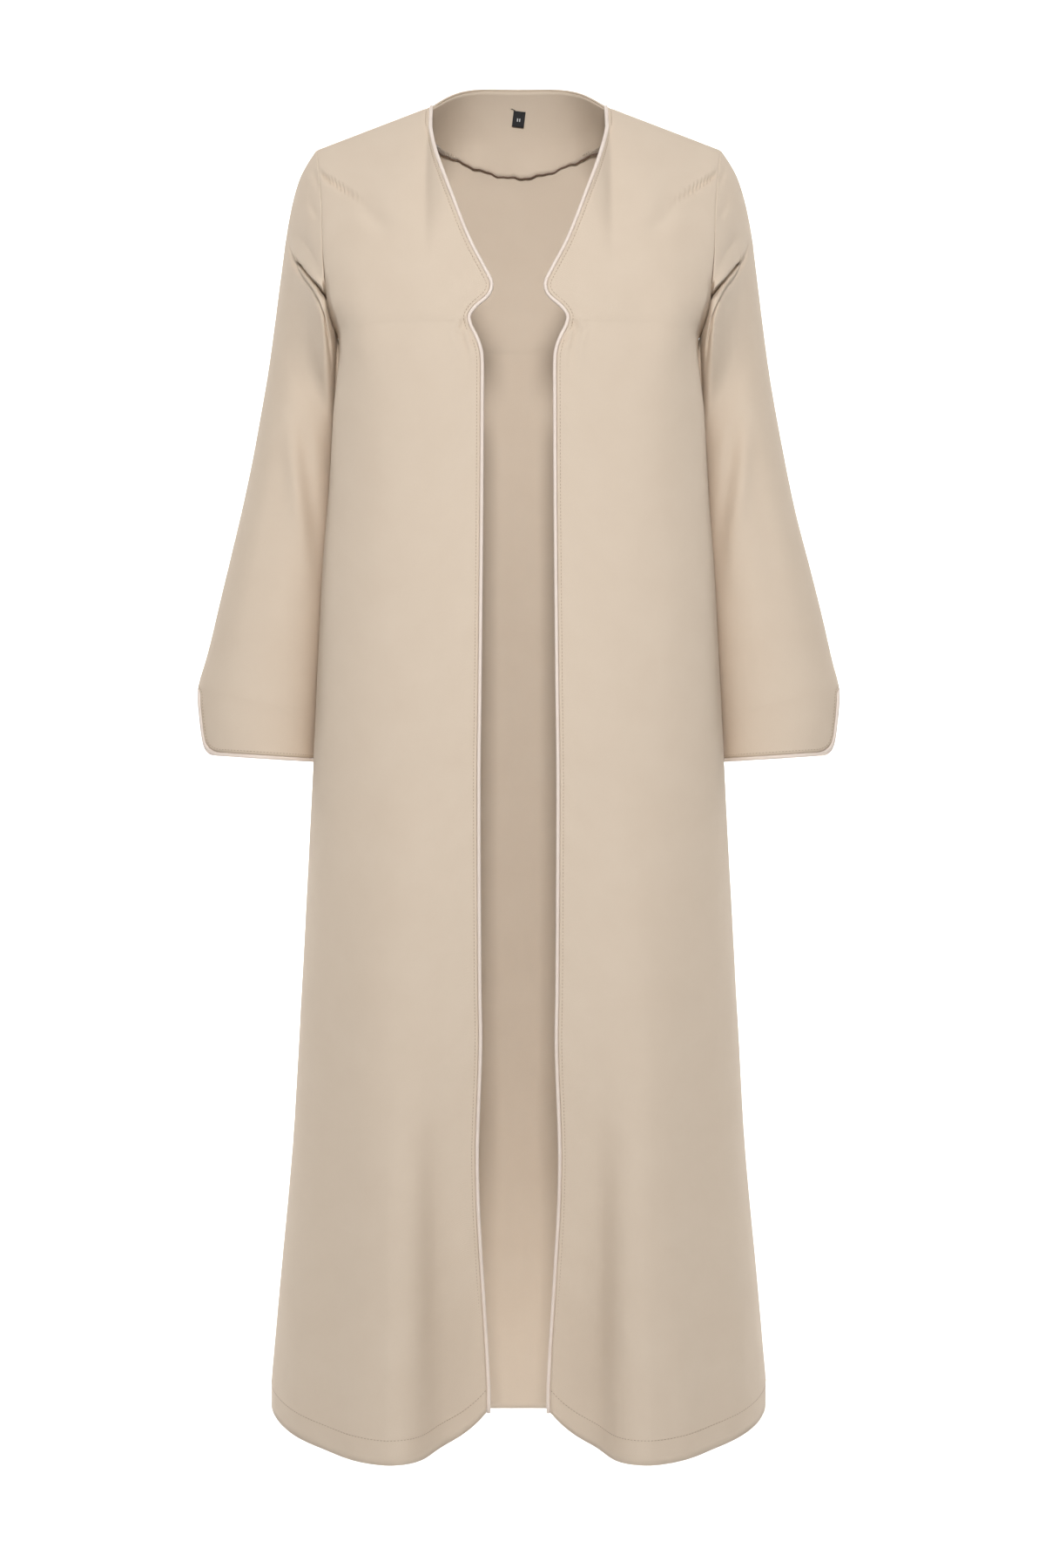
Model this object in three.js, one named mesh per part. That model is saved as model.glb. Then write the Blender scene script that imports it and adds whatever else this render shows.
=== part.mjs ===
// An open-front abaya cloak, hollow as it is worn: a back, two fronts, two sleeves, a back neck
// facing, a size label, and piping on the front edges and round the slit cuffs.
// Millimetres, +Z up. The front faces -Y and the wearer's left is +X. The origin is the centre of
// the neck opening, level with the neck ends of the shoulder seams.
import * as THREE from 'three';
import { mergeGeometries, mergeVertices } from 'three/addons/utils/BufferGeometryUtils.js';

// Driving dimensions of the cloak
const cloth = { wall: 1.6, seamGap: 0.3 };
const neck = { halfWidth: 89.5, seamDepth: 4, backRise: 33, backRoundness: 3.9, column: 64, riseFade: 1.5 };
const shoulder = { halfWidth: 202, drop: 43 };
const underarm = { drop: 238 };
const hem = { drop: 1326, sideLift: 36, lobeLift: 7, edgeLift: 33, liftFrom: 1080 };
const lobe = { halfWidth: 128 }; // the fullest point of each front at the hem
const facing = { wall: 1.2, gap: 0.7, depth: 90, sideDepth: 38, topMargin: 2.5 };
const label = { width: 12, height: 17, wall: 1, gap: 0.5, drop: 30, tilt: 7 };
const piping = { radius: 1.8, sides: 6, endMargin: 3 };
const slit = { length: 65, tip: 8, frontGap: 23, backGap: 3, flapForward: 12 };
const cuffCorner = { width: 24, height: 16 };

// How finely the cloth is faceted
const steps = { armhole: 12, skirt: 12, panel: 8, backNeck: 4, facing: 6 };

const mix = THREE.MathUtils.lerp;
const smooth = (t) => THREE.MathUtils.smoothstep(t, 0, 1);

// A smooth curve through a few [height, value] stations, highest first.
function profile(...stations) {
  const last = stations.length - 1;
  const slope = (i) => {
    const [a, b] = [stations[Math.max(i - 1, 0)], stations[Math.min(i + 1, last)]];
    return (b[1] - a[1]) / (b[0] - a[0]);
  };
  return (z) => {
    if (z >= stations[0][0]) return stations[0][1];
    if (z <= stations[last][0]) return stations[last][1];
    const i = stations.findIndex((station) => station[0] < z) - 1;
    const [[z0, from], [z1, to]] = [stations[i], stations[i + 1]];
    const span = z1 - z0;
    const t = (z - z0) / span;
    const bend = (1 - t) * (1 - t) * t * slope(i) - (1 - t) * t * t * slope(i + 1);
    return mix(from, to, t * t * (3 - 2 * t)) + bend * span;
  };
}

// The worn form, by height: how wide it is, and how deep in front, at the side and behind
const halfWidth = profile([-43, 234], [-141, 222], [-200, 200], [-238, 179], [-311, 184],
  [-384, 188.5], [-464, 195], [-654, 204.5], [-1004, 221], [-1140, 232.5], [-1300, 245]);
const frontDepth = profile([0, 86], [-120, 103], [-200, 113], [-260, 117], [-400, 113],
  [-650, 128], [-1000, 158], [-1326, 184]);
const sideDepth = profile([0, neck.seamDepth], [-43, neck.seamDepth], [-238, 2], [-1326, -4]);
const backDepth = profile([33, 82], [-60, 100], [-150, 108], [-238, 104], [-400, 93],
  [-650, 104], [-1000, 116], [-1326, 126]);
const armholeHalfWidth = profile([-43, 202], [-100, 195], [-160, 191.5], [-210, 186], [-238, 179]);
const edgeFall = profile([-650, 0], [-900, 14], [-1100, 45], [-1326, 92]);

// The front edge: neckline, the pointed tab and the notch under it, then nearly straight down
const edgeHalfWidth = profile([0, 89.5], [-28, 89], [-65, 81], [-120, 62], [-155, 48],
  [-185, 32.5], [-196, 27.8], [-206, 31], [-216.5, 43], [-226.5, 49.4], [-236.5, 48],
  [-246.5, 43], [-257, 38.9], [-267, 37.1], [-300, 37], [-430, 37.7], [-577, 39],
  [-677, 40], [-876, 39], [-926, 38.3], [-1026, 41.6], [-1078, 40.9], [-1129, 38.5],
  [-1232, 33.7], [-1300, 31]);

// How square the form is across, by height: 2 is an ellipse, and more is squarer.
const roundness = profile([-100, 2.6], [-238, 3.4], [-450, 2.9], [-1326, 2.6]);
const top = { frontReach: 185, backReach: 110, bluntness: 0.75 }; // how the form rounds over
const overShoulder = (below, reach) =>
  (1 - (1 - THREE.MathUtils.clamp(below / reach, 0, 1)) ** 2) ** top.bluntness;

const backNeckRise = (x) =>
  neck.backRise * (1 - (Math.abs(x) / neck.halfWidth) ** neck.backRoundness);

// The top of the form across the body: the shoulder slope, and the neck's column inside it
function ridge(x) {
  const slope = shoulder.drop / (shoulder.halfWidth - neck.halfWidth);
  if (x > neck.halfWidth) return (neck.halfWidth - x) * slope;
  return backNeckRise(x) + neck.column * (1 - (x / neck.halfWidth) ** 2);
}

// Depth of the worn form at a place on its front (-1) or its back (1)
function formDepth(x, z, side) {
  const across = Math.min(Math.abs(x) / halfWidth(z), 1);
  const power = roundness(z);
  const bulge = (1 - across ** power) ** (1 / power);
  const over = overShoulder(ridge(Math.abs(x)) - z, side < 0 ? top.frontReach : top.backReach);
  const reach = side < 0 ? frontDepth(z) + sideDepth(z) : backDepth(z) - sideDepth(z);
  return sideDepth(z) + side * reach * bulge * over;
}

// Near the front edges the cloth of the skirt falls back between the two full lobes.
function fallBack(x, z) {
  const edge = edgeHalfWidth(z);
  return edgeFall(z) * (1 - smooth((x - edge) / (lobe.halfWidth - edge)));
}

// The hem rises a little at the side seams and at the front edges.
function hemLift(x, z, side) {
  const out = Math.min(Math.abs(x) / halfWidth(z), 1);
  const low = smooth((-hem.liftFrom - z) / (hem.drop - hem.liftFrom));
  if (side > 0) return low * hem.sideLift * out ** 2;
  const fullest = lobe.halfWidth / halfWidth(-hem.drop);
  const edge = edgeHalfWidth(z) / halfWidth(z);
  const outward = Math.max((out - fullest) / (1 - fullest), 0);
  const inward = Math.max((fullest - out) / (fullest - edge), 0);
  const rise = (hem.sideLift - hem.lobeLift) * outward ** 1.8 + hem.edgeLift * inward ** 3.3;
  return low * (hem.lobeLift + rise);
}

// Rows of the body panels: the armhole's rows share its turn with the sleeve's columns, and at the
// front edge they gather round the tab and the notch.
const edgeRows = [0, 16, 40, 72, 108, 142, 172, 188, 197.5, 208, 218, 227, 238];
const rows = [];
for (let i = 0; i <= steps.armhole; i++) {
  const turn = Math.cos((Math.PI * i) / steps.armhole);
  rows.push({
    turn,
    outer: mix(-underarm.drop, -shoulder.drop, (1 + turn) / 2),
    inner: -edgeRows[i],
  });
}
for (let i = 1; i <= steps.skirt; i++) {
  const z = -mix(underarm.drop, hem.drop, (i / steps.skirt) ** 1.8);
  rows.push({ turn: -1, outer: z, inner: z });
}
const outerEdge = (z) => (z > -underarm.drop ? armholeHalfWidth(z) : halfWidth(z));

// Share of the way from the outer edge to an inner one, closer together where the form turns
function spread(share, z, outerX, innerX) {
  const power = roundness(z);
  const turned = (x) => Math.acos(Math.min(x / halfWidth(z), 1) ** (power / 2));
  const across = (angle) => Math.cos(angle) ** (2 / power);
  const [from, to] = [turned(outerX), turned(innerX)];
  const here = across(mix(from, to, share));
  return (across(from) - here) / (across(from) - across(to));
}

function frontPoint(share, row) {
  const [outerX, innerX] = [outerEdge(row.outer), edgeHalfWidth(row.inner)];
  const inward = spread(share, row.outer, outerX, innerX);
  const x = mix(outerX, innerX, inward);
  const z = mix(row.outer, row.inner, inward);
  return new THREE.Vector3(x, formDepth(x, z, -1) + fallBack(x, z), z + hemLift(x, z, -1));
}

// share runs from the wearer's right side seam, -1, to the left one, 1
function backPoint(share, row) {
  const innerShare = steps.backNeck / (steps.backNeck + steps.panel);
  const out = Math.abs(share);
  let [x, z] = [(neck.halfWidth * out) / innerShare, row.inner];
  if (out > innerShare) {
    const outerX = outerEdge(row.outer);
    const along = (1 - out) / (1 - innerShare);
    const inward = spread(along, row.outer, outerX, neck.halfWidth);
    x = mix(outerX, neck.halfWidth, inward);
    z = mix(row.outer, row.inner, inward);
  } else {
    z += backNeckRise(x) * ((1 + row.turn) / 2) ** neck.riseFade;
  }
  return new THREE.Vector3(
    Math.sign(share) * x, formDepth(x, z, 1), z + hemLift(x, z, 1));
}
// The sleeve's outer and inner lines seen from the front, from the armhole to the hem
const outerLine = new THREE.SplineCurve([[202, -43], [219, -70], [231, -112], [240.5, -172],
  [255.5, -277], [275, -381], [301, -486], [315.5, -548], [324, -581], [323, -608],
  [318.5, -644]].map(([x, z]) => new THREE.Vector2(x, z)));
const innerLine = new THREE.SplineCurve([[179, -238], [179.7, -262], [183.6, -320], [187.8, -400],
  [195.5, -504], [202.5, -600], [206.5, -651]].map(([x, z]) => new THREE.Vector2(x, z)));
const fold = { depth: 7, width: 0.042, outerAt: 0.155, innerAt: -0.035, sink: 1.3 };
const sleeve = { frontDepth: 52, backDepth: 54, middle: 6, drift: 34, driftReach: 0.3,
  seamReach: 0.24, flatness: 0.75 };
const slitTop = 1 - slit.length / outerLine.getLength();
const slitPush = 1.2; // how far round the sleeve, in radians, the open slit pushes the cloth back

function sleeveRing(turn, t) {
  const [outer, inner] = [outerLine.getPointAt(t), innerLine.getPointAt(t)];
  const middle = sleeve.middle + sleeve.drift * smooth(t / sleeve.driftReach);
  const depth = turn < Math.PI ? sleeve.frontDepth : sleeve.backDepth;
  return new THREE.Vector3(
    mix(inner.x, outer.x, (1 + Math.cos(turn)) / 2),
    middle - Math.sign(Math.PI - turn) * depth * Math.abs(Math.sin(turn)) ** sleeve.flatness,
    mix(inner.y, outer.y, (1 + Math.cos(turn)) / 2));
}

function armholePoint(turn) {
  const z = mix(-underarm.drop, -shoulder.drop, (1 + Math.cos(turn)) / 2);
  const x = armholeHalfWidth(z);
  return new THREE.Vector3(x, formDepth(x, z, turn < Math.PI ? -1 : 1), z);
}

// The fold that runs down across each side of the sleeve from its outer line to the underarm:
// the cloth above it swells, and the cloth under it falls in.
function underarmFold(turn, t) {
  const inward = (1 - Math.cos(turn)) / 2; // 0 at the outer line, 1 at the inner
  const across = (t - mix(fold.outerAt, fold.innerAt, inward)) / fold.width;
  const swell = Math.exp(-((across + 1) ** 2)) - fold.sink * Math.exp(-((across - 0.4) ** 2));
  return fold.depth * swell * smooth(inward / 0.4) * smooth((1 - inward) / 0.1);
}

// turn goes round from the top of the shoulder over the front; down goes from the armhole to the hem
function sleevePoint(turn, down) {
  const below = Math.max(down - slitTop, 0) * outerLine.getLength(); // millimetres into the slit
  const open = Math.sqrt(1 - (1 - Math.min(below / slit.tip, 1)) ** 2);
  const inFront = turn < Math.PI;
  const gap = inFront ? slit.frontGap : slit.backGap;
  const depth = inFront ? sleeve.frontDepth : sleeve.backDepth;
  const around = Math.min(turn, 2 * Math.PI - turn);
  const near = around + ((open * gap) / depth) * Math.max(1 - around / slitPush, 0);
  const shifted = inFront ? near : 2 * Math.PI - near;
  const corner = Math.max(1 - Math.max(near * depth - gap, 0) / cuffCorner.width, 0);
  const raise = cuffCorner.height * (1 - Math.sqrt(1 - corner * corner));
  const t = down * (1 - (raise / outerLine.getLength()) * smooth((down - slitTop) / (1 - slitTop)));
  const point = sleeveRing(shifted, t);
  const joined = 1 - smooth(t / sleeve.seamReach);
  point.add(armholePoint(shifted).sub(sleeveRing(shifted, 0)).multiplyScalar(joined));
  point.y -= Math.sign(Math.PI - turn) * underarmFold(turn, down) * smooth(down / 0.1);
  // Below the slit's top the front flap lies flat, a little further forward.
  if (inFront) point.y -= slit.flapForward * Math.exp(-((near / 0.45) ** 2)) * smooth(below / 20);
  return point;
}

function mirror(geometry) {
  const mirrored = geometry.clone().scale(-1, 1, 1);
  const faces = mirrored.index.array;
  for (let i = 0; i < faces.length; i += 3) [faces[i], faces[i + 1]] = [faces[i + 1], faces[i]];
  mirrored.computeVertexNormals();
  return mirrored;
}

// A grid of cloth points as a three.js plane whose vertices are moved into place
function sheet(columns, count, place) {
  const geometry = new THREE.PlaneGeometry(1, 1, columns, count);
  const { position, uv } = geometry.attributes;
  for (let i = 0; i < position.count; i++) {
    const point = place(uv.getX(i), 1 - uv.getY(i));
    position.setXYZ(i, point.x, point.y, point.z);
  }
  geometry.deleteAttribute('normal');
  geometry.deleteAttribute('uv');
  const merged = mergeVertices(geometry, 1e-3);
  merged.computeVertexNormals();
  return merged;
}

function bothHalves(geometry) {
  const halves = [geometry, mirror(geometry)];
  for (const half of halves) half.deleteAttribute('normal');
  const whole = mergeVertices(mergeGeometries(halves), 1e-3);
  whole.computeVertexNormals();
  return whole;
}

const rowAt = (v) => rows[Math.round(v * (rows.length - 1))];
const sleeveRows = [0, 0.03, 0.065, 0.1, 0.14, 0.18, 0.22, 0.27, 0.32, 0.38, 0.47, 0.58, 0.7,
  0.81, slitTop, slitTop + 0.005, slitTop + 0.02, slitTop + 0.05, 1];
const halfColumns = steps.panel + steps.backNeck;
const sheets = {
  back: bothHalves(sheet(halfColumns, rows.length - 1, (u, v) => backPoint(1 - u, rowAt(v)))),
  front: sheet(steps.panel, rows.length - 1, (u, v) => frontPoint(1 - u, rowAt(v))),
  sleeve: sheet(2 * steps.armhole, sleeveRows.length - 1, (u, v) =>
    sleevePoint(2 * Math.PI * (1 - u), sleeveRows[Math.round(v * (sleeveRows.length - 1))])),
};

// Where two panels are sewn together they share a point, and each panel's normal there is kept.
const samePlace = 0.05;
const vertex = (attribute, i) => new THREE.Vector3().fromBufferAttribute(attribute, i);
const seamPoints = [];
const seamPointAt = (point) =>
  seamPoints.find((other) => other.place.distanceToSquared(point) < samePlace ** 2);
for (const [name, geometry] of Object.entries(sheets)) {
  const part = name === 'sleeve' ? 'sleeve' : 'body';
  for (let i = 0; i < geometry.attributes.position.count; i++) {
    const place = vertex(geometry.attributes.position, i);
    if (!seamPointAt(place)) seamPoints.push({ place });
    const shared = seamPointAt(place);
    shared[part] ??= new THREE.Vector3();
    shared[part].add(vertex(geometry.attributes.normal, i));
  }
}

// They share its direction, except under the arm, where the sleeve turns back from the body.
const seamNormal = (part) => (point) => {
  const side = new THREE.Vector3(point.x < 0 ? -1 : 1, 1, 1);
  const { body, sleeve: arm } = seamPointAt(point.clone().multiply(side));
  const [own, other] = part === 'body' ? [body, arm] : [arm, body];
  const sum = own.clone().normalize();
  if (other) {
    const next = other.clone().normalize();
    sum.addScaledVector(next, smooth(2 * sum.dot(next))).normalize();
  }
  return sum.multiply(side);
};

// Closes an open sheet into a wall: the sheet, its copy further in, and a rim round its edges.
function wallOf(geometry, normalAt, from, to) {
  const { position } = geometry.attributes;
  const faces = geometry.index.array;
  const points = [];
  for (const inward of [from, to]) {
    for (let i = 0; i < position.count; i++) {
      const point = vertex(position, i);
      const moved = point.clone().addScaledVector(normalAt(point, i), -inward);
      points.push(moved.x, moved.y, moved.z);
    }
  }
  const under = (i) => i + position.count;
  const edges = new Map();
  const index = [];
  for (let i = 0; i < faces.length; i += 3) {
    const [a, b, c] = faces.slice(i, i + 3);
    index.push(a, b, c, under(c), under(b), under(a));
    for (const [p, q] of [[a, b], [b, c], [c, a]]) {
      if (!edges.delete(`${q} ${p}`)) edges.set(`${p} ${q}`, [p, q]);
    }
  }
  for (const [p, q] of edges.values()) index.push(q, p, under(p), q, under(p), under(q));
  const closed = new THREE.BufferGeometry();
  closed.setAttribute('position', new THREE.Float32BufferAttribute(points, 3));
  closed.setIndex(index);
  closed.computeVertexNormals();
  return closed;
}

// A round trim whose middle follows the given points
class Route extends THREE.Curve {
  constructor(points) {
    super();
    this.points = points;
  }
  getPoint(t, target = new THREE.Vector3()) {
    const place = THREE.MathUtils.clamp(t, 0, 1) * (this.points.length - 1);
    const i = Math.min(Math.floor(place), this.points.length - 2);
    return target.lerpVectors(this.points[i], this.points[i + 1], place - i);
  }
  getPointAt(t, target) {
    return this.getPoint(t, target);
  }
  getTangentAt(t, target) {
    return this.getTangent(t, target);
  }
}

function trim(points) {
  const section = new THREE.Shape().absarc(0, 0, piping.radius, 0, 2 * Math.PI);
  const geometry = new THREE.ExtrudeGeometry(section, {
    steps: points.length - 1,
    curveSegments: piping.sides / 2,
    extrudePath: new Route(points),
  });
  geometry.deleteAttribute('normal');
  geometry.deleteAttribute('uv');
  return mergeVertices(geometry, 1e-3);
}

// Moves a line of edge points out of the cloth, square to the edge and along the cloth.
function outOfEdge(edge, normals, out) {
  return edge.map((point, i) => {
    const before = edge[Math.max(i - 1, 0)];
    const after = edge[Math.min(i + 1, edge.length - 1)];
    const [arriving, leaving] = [point.clone().sub(before), after.clone().sub(point)];
    const half = i > 0 && i < edge.length - 1 ? arriving.angleTo(leaving) / 2 : 0;
    const along = after.clone().sub(before).normalize();
    const outward = along.cross(normals[i]).normalize();
    const depth = normals[i].clone().multiplyScalar(-cloth.wall / 2);
    return point.clone().addScaledVector(outward, out / Math.cos(half)).add(depth);
  });
}
const trimOffset = piping.radius + cloth.seamGap;

function frontPiping() {
  const edge = rows.map((row) => frontPoint(1, row)).reverse();
  const normals = edge.map(seamNormal('body'));
  const line = outOfEdge(edge, normals, -trimOffset);
  line[line.length - 1].lerp(line[line.length - 2], 0.25); // stops short of the shoulder seam
  return trim(line);
}

// Round the cuff from the sleeve's underarm seam: the hem, up the slit's front edge, over its top,
// down its back edge, and round the hem again
function cuffPiping() {
  const round = 2 * Math.PI;
  const [half, columns] = [steps.armhole, 2 * steps.armhole];
  const hemAt = (column) => [(round * column) / columns, 1];
  const slitRows = sleeveRows.filter((down) => down > slitTop && down < 1);
  const stations = [
    ...Array.from({ length: half + 1 }, (_, i) => hemAt(half - i)),
    ...slitRows.map((down) => [0, down]).reverse(),
    [0, slitTop],
    ...slitRows.map((down) => [round, down]),
    ...Array.from({ length: half + 1 }, (_, i) => hemAt(columns - i)),
  ];
  const edge = stations.map(([turn, down]) => sleevePoint(turn, down));
  const line = outOfEdge(edge, edge.map(seamNormal('sleeve')), trimOffset);
  line[0].lerp(line[1], 0.1);
  line[line.length - 1].lerp(line[line.length - 2], 0.1);
  return trim(line);
}

// The back's own faceted surface, by column and by distance down the column from its top edge
function backSurface(column, distance) {
  const share = column / halfColumns;
  let left = distance;
  for (let i = 1; i < rows.length; i++) {
    const [above, below] = [backPoint(share, rows[i - 1]), backPoint(share, rows[i])];
    const length = above.distanceTo(below);
    if (left <= length) return above.lerp(below, left / length);
    left -= length;
  }
  return backPoint(share, rows[rows.length - 1]);
}

// A place on the back between two columns, that far down from its top edge
function onBack(column, distance) {
  const whole = Math.floor(column);
  const next = backSurface(whole + 1, distance);
  return backSurface(whole, distance).lerp(next, column - whole);
}

function innerLayer(columns, count, place, from, wall) {
  const geometry = sheet(columns, count, place);
  const own = (_, i) => vertex(geometry.attributes.normal, i);
  return wallOf(geometry, own, from, from + wall);
}

// It follows the back's columns, a little past the neck ends of the shoulder seams.
function neckFacing() {
  const reach = steps.backNeck + 1;
  const depth = (column) => mix(facing.depth, facing.sideDepth, (Math.abs(column) / reach) ** 2);
  const place = (u, v) => {
    const column = Math.round(reach * (1 - 2 * u));
    return onBack(column, mix(facing.topMargin, depth(column), v));
  };
  return innerLayer(2 * reach, steps.facing, place, cloth.wall + facing.gap, facing.wall);
}

function sizeLabel() {
  const tilt = THREE.MathUtils.degToRad(label.tilt);
  const columnWidth = backPoint(1 / halfColumns, rows[0]).x;
  const place = (u, v) => {
    const [across, down] = [(0.5 - u) * label.width, (v - 0.5) * label.height];
    const x = across * Math.cos(tilt) - down * Math.sin(tilt);
    const z = across * Math.sin(tilt) + down * Math.cos(tilt);
    return onBack(x / columnWidth, label.drop + z);
  };
  const from = cloth.wall + facing.gap + facing.wall + label.gap;
  return innerLayer(2, 2, place, from, label.wall);
}

const finishes = {
  cloth: new THREE.MeshStandardMaterial({ color: '#d8c7b3', roughness: 0.85 }),
  piping: new THREE.MeshStandardMaterial({ color: '#ecdfd3', roughness: 0.6 }),
  label: new THREE.MeshStandardMaterial({ color: '#17171a', roughness: 0.8 }),
};

const cloak = new THREE.Group();
function add(name, geometry, finish, [x, y, z] = [0, 0, 0]) {
  const mesh = new THREE.Mesh(geometry, finishes[finish]);
  mesh.name = name;
  mesh.position.set(x, y, z);
  cloak.add(mesh);
}
// A piece of the wearer's left, and its mirror image on the right
function addPair(name, geometry, finish, [x, y, z] = [0, 0, 0]) {
  add(`${name}_left`, geometry, finish, [x, y, z]);
  add(`${name}_right`, mirror(geometry), finish, [-x, y, z]);
}

const panel = (geometry, part) => wallOf(geometry, seamNormal(part), 0, cloth.wall);
add('back', panel(sheets.back, 'body'), 'cloth', [0, cloth.seamGap / 2, 0]);
addPair('front', panel(sheets.front, 'body'), 'cloth', [0, -cloth.seamGap / 2, 0]);
addPair('sleeve', panel(sheets.sleeve, 'sleeve'), 'cloth', [cloth.seamGap, 0, 0]);
addPair('front_piping', frontPiping(), 'piping', [0, -cloth.seamGap / 2, 0]);
addPair('cuff_piping', cuffPiping(), 'piping', [cloth.seamGap, 0, 0]);
add('neck_facing', neckFacing(), 'cloth');
add('size_label', sizeLabel(), 'label');

export default cloak;
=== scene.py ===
import math

import bmesh
import bpy
from mathutils import Matrix, Vector, noise


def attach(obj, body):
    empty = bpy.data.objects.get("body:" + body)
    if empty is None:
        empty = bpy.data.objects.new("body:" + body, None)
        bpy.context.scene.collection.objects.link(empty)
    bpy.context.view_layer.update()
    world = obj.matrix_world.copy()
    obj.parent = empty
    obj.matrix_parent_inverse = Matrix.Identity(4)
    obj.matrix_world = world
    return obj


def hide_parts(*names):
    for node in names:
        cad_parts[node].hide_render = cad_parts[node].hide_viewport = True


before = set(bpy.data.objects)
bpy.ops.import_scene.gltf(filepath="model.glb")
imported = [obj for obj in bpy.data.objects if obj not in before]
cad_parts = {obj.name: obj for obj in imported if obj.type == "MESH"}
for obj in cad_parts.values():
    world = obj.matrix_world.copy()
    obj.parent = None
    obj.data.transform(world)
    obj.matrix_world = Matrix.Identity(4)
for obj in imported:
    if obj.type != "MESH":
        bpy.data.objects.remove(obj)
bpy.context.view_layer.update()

print("abaya cloak: frame loaded")

# Sizes are in millimetres until a mesh is made, as a pattern cutter works.
# The front faces -Y, the wearer's left is +X, and the origin is the middle of the neck opening.
mm = 0.001


def mix(a, b, t):
    return a + (b - a) * t


def clamp(value, low=0.0, high=1.0):
    return max(low, min(high, value))


def smooth(t):
    t = clamp(t)
    return t * t * (3 - 2 * t)


def bump(t):
    return math.exp(-t * t)


def profile(*stations):
    # a smooth curve through (height, value) stations, highest first, kept as one value a millimetre
    last = len(stations) - 1

    def slope(i):
        a, b = stations[max(i - 1, 0)], stations[min(i + 1, last)]
        return (b[1] - a[1]) / (b[0] - a[0])

    top, bottom = stations[0][0], stations[-1][0]
    table = []
    i = 0
    for step in range(int(math.ceil(top - bottom)) + 1):
        z = max(top - step, bottom)
        while i < last - 1 and z < stations[i + 1][0]:
            i += 1
        (z0, a), (z1, b) = stations[i], stations[i + 1]
        span = z1 - z0
        t = (z - z0) / span
        bend = (1 - t) * (1 - t) * t * slope(i) - (1 - t) * t * t * slope(i + 1)
        table.append(mix(a, b, t * t * (3 - 2 * t)) + bend * span)

    end = len(table) - 1.001  # just short of the last value, so that there is one after it

    def at(z):
        place = clamp(top - z, 0, end)
        k = int(place)
        return mix(table[k], table[k + 1], place - k)

    return at


def smoothLine(points, samples=400):
    # a Catmull-Rom line through points, asked for by its share of the whole length
    count = len(points)
    line = []
    for step in range(samples + 1):
        place = (count - 1) * step / samples
        k = min(int(place), count - 2)
        t = place - k
        p0, p1 = points[max(k - 1, 0)], points[k]
        p2, p3 = points[k + 1], points[min(k + 2, count - 1)]
        line.append([
            (2 * b - 2 * c + (c - a) / 2 + (d - b) / 2) * t**3
            + (-3 * b + 3 * c - (c - a) - (d - b) / 2) * t**2 + (c - a) / 2 * t + b
            for a, b, c, d in zip(p0, p1, p2, p3)
        ])
    lengths = [0.0]
    for a, b in zip(line, line[1:]):
        lengths.append(lengths[-1] + math.dist(a, b))

    def at(share):
        want = clamp(share) * lengths[-1]
        low, high = 0, samples
        while high - low > 1:
            middle = (low + high) // 2
            if lengths[middle] <= want:
                low = middle
            else:
                high = middle
        t = (want - lengths[low]) / max(lengths[high] - lengths[low], 1e-9)
        return [mix(a, b, t) for a, b in zip(line[low], line[high])]

    return at, lengths[-1]


# The worn form of the cloak

form = {
    "neckHalfWidth": 89.5,
    "neckRise": 33,
    "neckRoundness": 3.9,
    "neckColumn": 64,
    "shoulderHalfWidth": 202,
    "shoulderDrop": 43,
    "underarmDrop": 238,
    "frontReach": 185,  # how far under the shoulder the form reaches its whole depth
    "backReach": 110,
    "bluntness": 0.75,
    "hemDrop": 1326,
    "hemLiftFrom": 1080,
    "sideLift": 36,
    "lobeLift": 7,
    "edgeLift": 33,
    "lobeHalfWidth": 128,
    "outwardCurve": 1.8,  # how late the hem's curve rises from the lobe, outwards and inwards
    "inwardCurve": 3.3,
    "armholeShare": 0.27,  # the share of a panel's rows that run from its top to the underarm
    "rowSpacing": 1.25,  # more than 1 sets the rows closer at the underarm than at the hem
    "neckShare": 1 / 3,  # the share of the half back's columns under the neck
    "neckFade": 1.5,
}

halfWidth = profile((-43, 234), (-141, 222), (-200, 200), (-238, 179), (-311, 184),
                    (-384, 188.5), (-464, 195), (-654, 204.5), (-1004, 221), (-1140, 232.5),
                    (-1300, 245))
frontDepth = profile((0, 86), (-120, 103), (-200, 113), (-260, 117), (-400, 113), (-650, 128),
                     (-1000, 158), (-1326, 184))
sideDepth = profile((0, 4), (-43, 4), (-238, 2), (-1326, -4))
backDepth = profile((33, 82), (-60, 100), (-150, 108), (-238, 104), (-400, 93), (-650, 104),
                    (-1000, 116), (-1326, 126))
armholeHalfWidth = profile((-43, 202), (-100, 195), (-160, 191.5), (-210, 186), (-238, 179))
edgeFall = profile((-650, 0), (-900, 14), (-1100, 45), (-1326, 92))
edgeHalfWidth = profile((0, 89.5), (-28, 89), (-65, 81), (-120, 62), (-155, 48), (-185, 32.5),
                        (-196, 27.8), (-206, 31), (-216.5, 43), (-226.5, 49.4), (-236.5, 48),
                        (-246.5, 43), (-257, 38.9), (-267, 37.1), (-300, 37), (-430, 37.7),
                        (-577, 39), (-677, 40), (-876, 39), (-926, 38.3), (-1026, 41.6),
                        (-1078, 40.9), (-1129, 38.5), (-1232, 33.7), (-1300, 31))
roundness = profile((-100, 2.6), (-238, 3.4), (-450, 2.9), (-1326, 2.6))
hemHalfWidth = halfWidth(-form["hemDrop"])


def neckEdge(x):
    return form["neckRise"] * (1 - (abs(x) / form["neckHalfWidth"]) ** form["neckRoundness"])


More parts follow.
